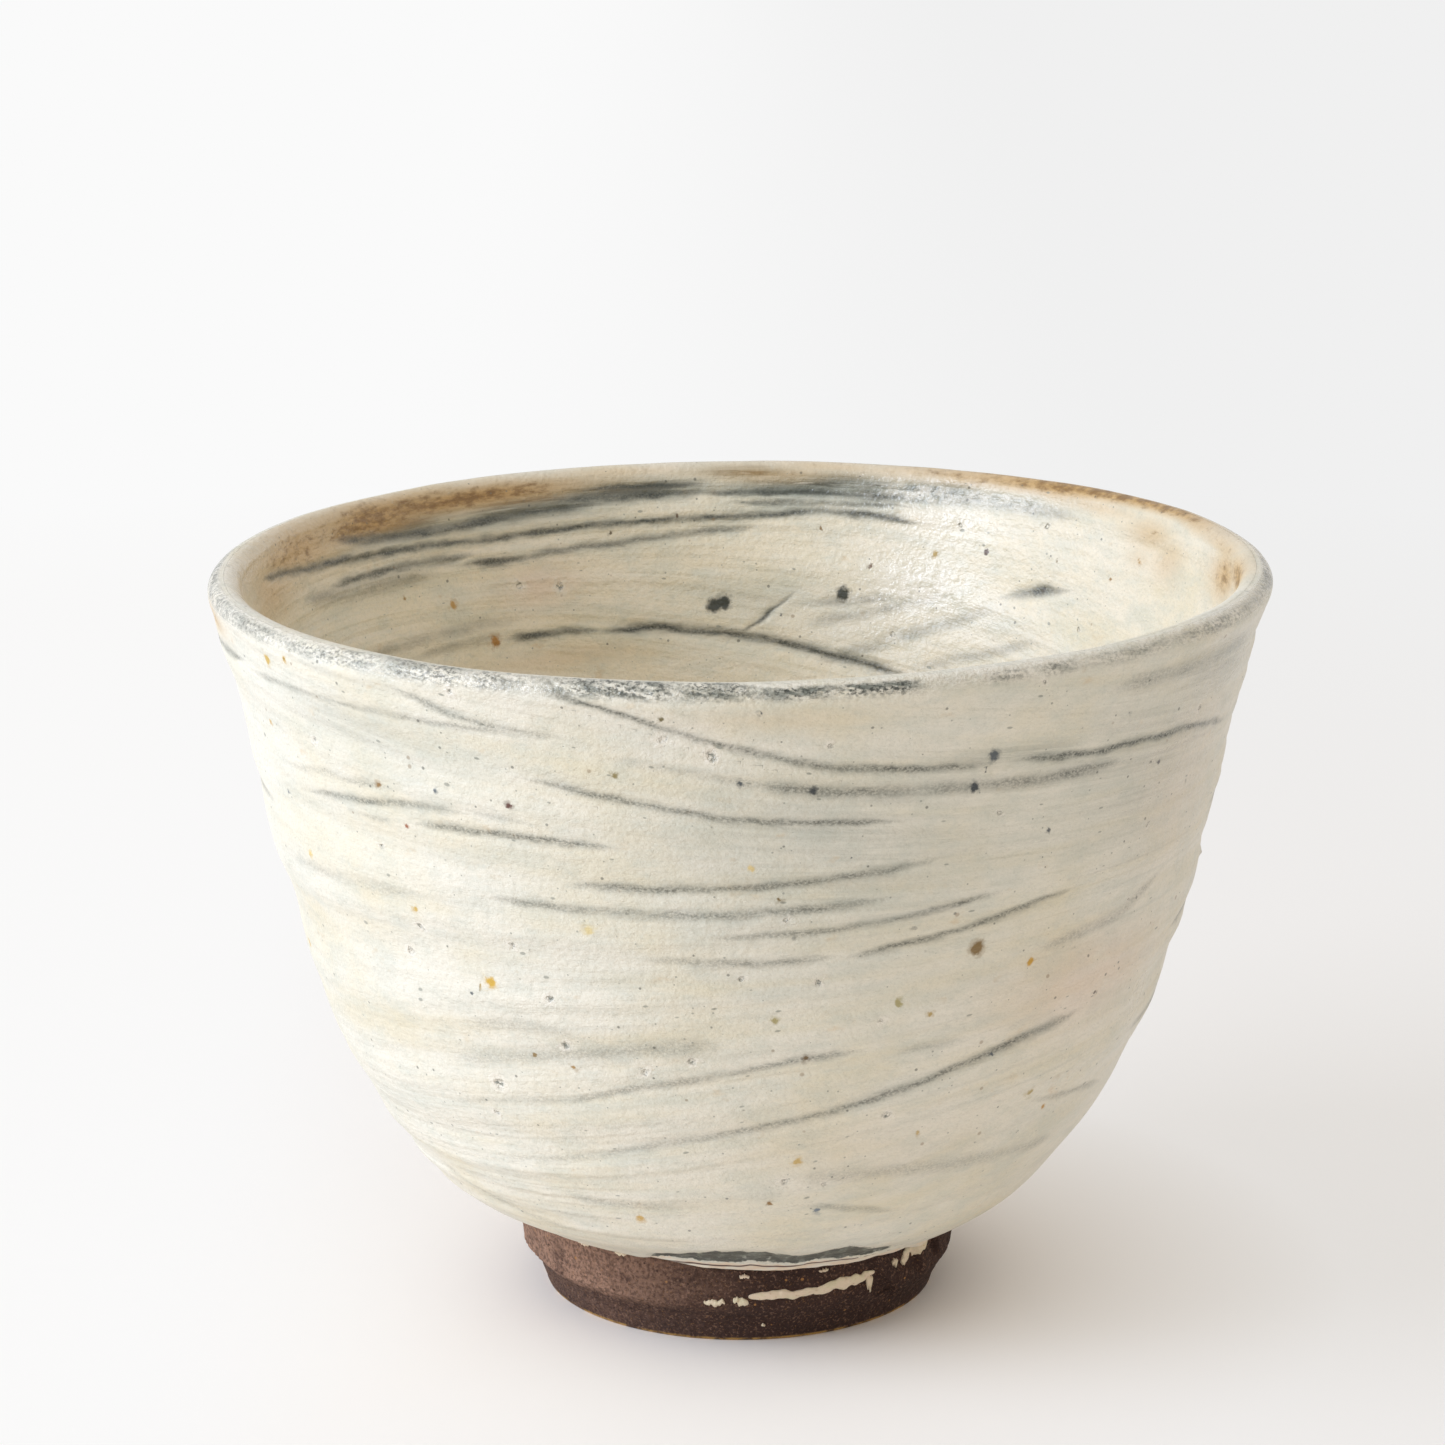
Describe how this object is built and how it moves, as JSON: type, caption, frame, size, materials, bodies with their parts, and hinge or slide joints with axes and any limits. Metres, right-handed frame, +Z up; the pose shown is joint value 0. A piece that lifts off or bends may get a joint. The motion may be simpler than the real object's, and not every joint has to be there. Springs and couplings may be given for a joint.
{
  "type": "guinomi sake cup",
  "caption": "Small wheel-thrown stoneware sake cup with a turned foot, brushed white slip and a clear glaze.",
  "frame": {"origin": "centre of the face that the foot rests on", "axes": "+Z up along the cup's turning axis; the side that the picture shows faces -Y, and +X is to its right"},
  "size_m": [0.0706, 0.0706, 0.0504],
  "materials": {
    "iron_clay": "matt, coarse and unglazed",
    "white_slip": "matt, brushed",
    "bare_slip": "matt, unglazed and toasted",
    "clear_glaze": "satin matt, clear"
  },
  "bodies": {
    "root": {"thrown_bowl": "iron_clay", "foot_ring": "iron_clay", "outer_slip": "white_slip", "inner_slip": "white_slip", "outer_glaze": "clear_glaze", "inner_glaze": "clear_glaze", "foot_slip_streaks": "bare_slip"}
  },
  "joints": []
}
